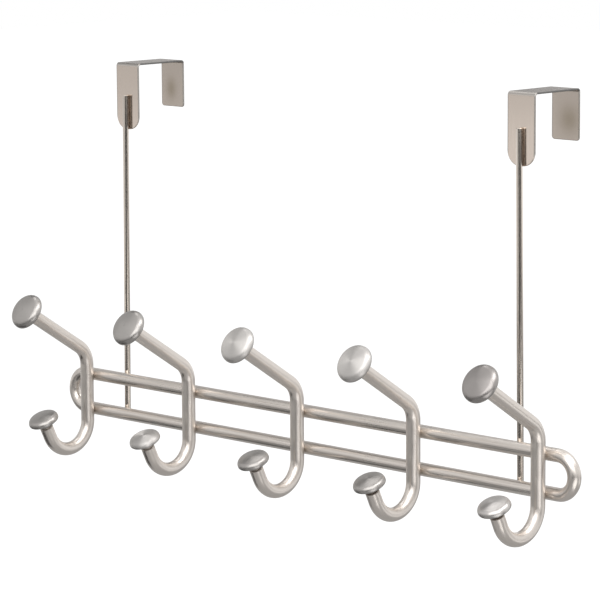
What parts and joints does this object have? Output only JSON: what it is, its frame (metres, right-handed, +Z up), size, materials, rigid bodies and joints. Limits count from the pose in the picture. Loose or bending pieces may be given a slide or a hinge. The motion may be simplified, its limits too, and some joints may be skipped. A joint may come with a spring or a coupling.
{
  "type": "over-door hook rack",
  "caption": "Over-door rack of satin steel: a long loop of rod carries double coat hooks with domed knobs, and thin uprights hang it from flat strips bent over the top of a door.",
  "frame": {"origin": "top front edge of the door, midway between the strips: z = 0 on the undersides of the strips, y = 0 on the back faces of their front legs", "axes": "+X along the rails to the right as seen from the front, -Y forwards, the way the hooks point, +Z up as it hangs"},
  "size_m": [0.4418, 0.1181, 0.2624],
  "materials": {
    "satin_rod": "satin nickel",
    "satin_knob": "smooth satin nickel",
    "upright_rod": "drawn satin wire",
    "satin_strip": "satin rolled strip"
  },
  "bodies": {
    "root": {"rail_loop": "satin_rod", "hook_1": "satin_rod", "upper_knob_1": "satin_knob", "lower_knob_1": "satin_knob", "hook_2": "satin_rod", "upper_knob_2": "satin_knob", "lower_knob_2": "satin_knob", "hook_3": "satin_rod", "upper_knob_3": "satin_knob", "lower_knob_3": "satin_knob", "hook_4": "satin_rod", "upper_knob_4": "satin_knob", "lower_knob_4": "satin_knob", "hook_5": "satin_rod", "upper_knob_5": "satin_knob", "lower_knob_5": "satin_knob", "upright_left": "upright_rod", "door_bracket_left": "satin_strip", "upright_right": "upright_rod", "door_bracket_right": "satin_strip"}
  },
  "joints": []
}
